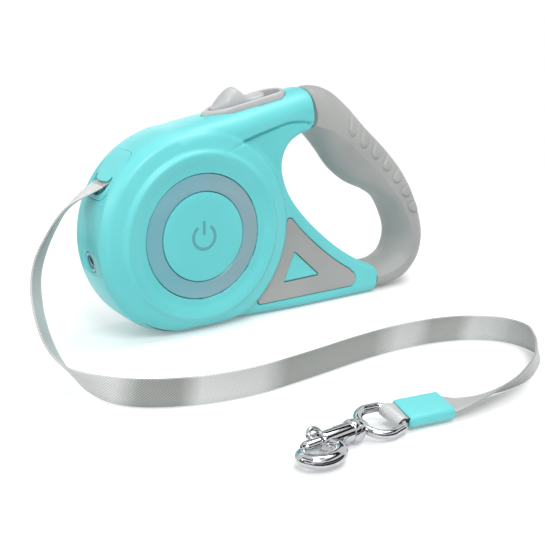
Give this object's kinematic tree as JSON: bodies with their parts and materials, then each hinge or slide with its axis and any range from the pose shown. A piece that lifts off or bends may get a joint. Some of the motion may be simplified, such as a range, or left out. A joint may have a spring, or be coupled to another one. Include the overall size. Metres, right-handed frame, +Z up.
{
  "type": "retractable leash",
  "caption": "Retractable dog leash: round drum casing with loop handle, thumb brake, light ring with power button, and flat tape ending in a swivel bolt snap.",
  "frame": {"origin": "on the flat base, straight below the reel axis, in the parting plane of the casing", "axes": "+Z up, +X from the mouth towards the handle, -Y out of the lit face, reel axis along Y"},
  "size_m": [0.2238, 0.1759, 0.1081],
  "materials": {
    "teal_plastic": "satin moulded ABS",
    "grip_rubber": "soft matte",
    "grey_plastic": "satin",
    "diffuser": "frosted translucent",
    "chrome": "polished",
    "steel": "plain",
    "tape_fabric": "woven satin tape",
    "white_plastic": "plain",
    "dark_plastic": "plain",
    "board": "solder mask"
  },
  "bodies": {
    "casing": {"left_shell": "teal_plastic", "right_shell": "teal_plastic", "left_grip": "grip_rubber", "right_grip": "grip_rubber", "left_inlay": "grip_rubber", "right_inlay": "grip_rubber", "casing_screws": "steel", "tape_guide": "teal_plastic", "front_lens": "diffuser", "front_lamp": "white_plastic", "brake_bezel": "grey_plastic", "brake_pin": "steel", "brake_spring": "steel", "light_ring": "diffuser", "key_switch": "dark_plastic", "light_board": "board", "ring_leds": "white_plastic", "coin_cell": "steel", "cell_holder": "dark_plastic", "mainspring": "steel", "reel_axle": "steel", "axle_screw": "steel", "tape_lead": "tape_fabric", "tape": "tape_fabric", "tape_loop": "tape_fabric", "end_sleeve": "teal_plastic", "swivel_eye": "chrome"},
    "reel": {"reel_drum": "white_plastic", "reel_cover": "white_plastic", "tape_winding": "tape_fabric"},
    "brake_lever": {"brake_lever": "dark_plastic"},
    "brake_button": {"brake_button": "grey_plastic"},
    "power_button": {"power_button": "teal_plastic", "switch_stem": "dark_plastic"},
    "snap_body": {"snap_body": "chrome", "bolt_spring": "steel"},
    "snap_bolt": {"snap_bolt": "chrome"}
  },
  "joints": [
    {"name": "reel_spin", "type": "hinge", "parent": "casing", "child": "reel", "pos_m": [0, 0, 0.045], "axis": [0, 1, 0], "continuous": true, "deforming": ["mainspring"]},
    {"name": "brake_press", "type": "hinge", "parent": "casing", "child": "brake_lever", "pos_m": [0.05502, 0, 0.09678], "axis": [0, -1, 0], "range_deg": [0, 5], "stiffness_Nm_per_rad": 1, "springref_deg": -3.44, "deforming": ["brake_spring"]},
    {"name": "brake_lock", "type": "slide", "parent": "brake_lever", "child": "brake_button", "axis": [0.9806, 0, 0.1959], "range_m": [0, 0.006]},
    {"name": "power_press", "type": "slide", "parent": "casing", "child": "power_button", "axis": [0, 1, 0], "range_m": [0, 0.0005], "stiffness_N_per_m": 800, "springref_m": -0.0005},
    {"name": "snap_swivel", "type": "hinge", "parent": "casing", "child": "snap_body", "pos_m": [0.0052, -0.1418, 0.0044], "axis": [-0.9969, -0.0785, 0], "continuous": true},
    {"name": "bolt_slide", "type": "slide", "parent": "snap_body", "child": "snap_bolt", "axis": [0.9969, 0.0785, 0], "range_m": [0, 0.0055], "stiffness_N_per_m": 300, "springref_m": -0.003, "deforming": ["bolt_spring"]}
  ]
}
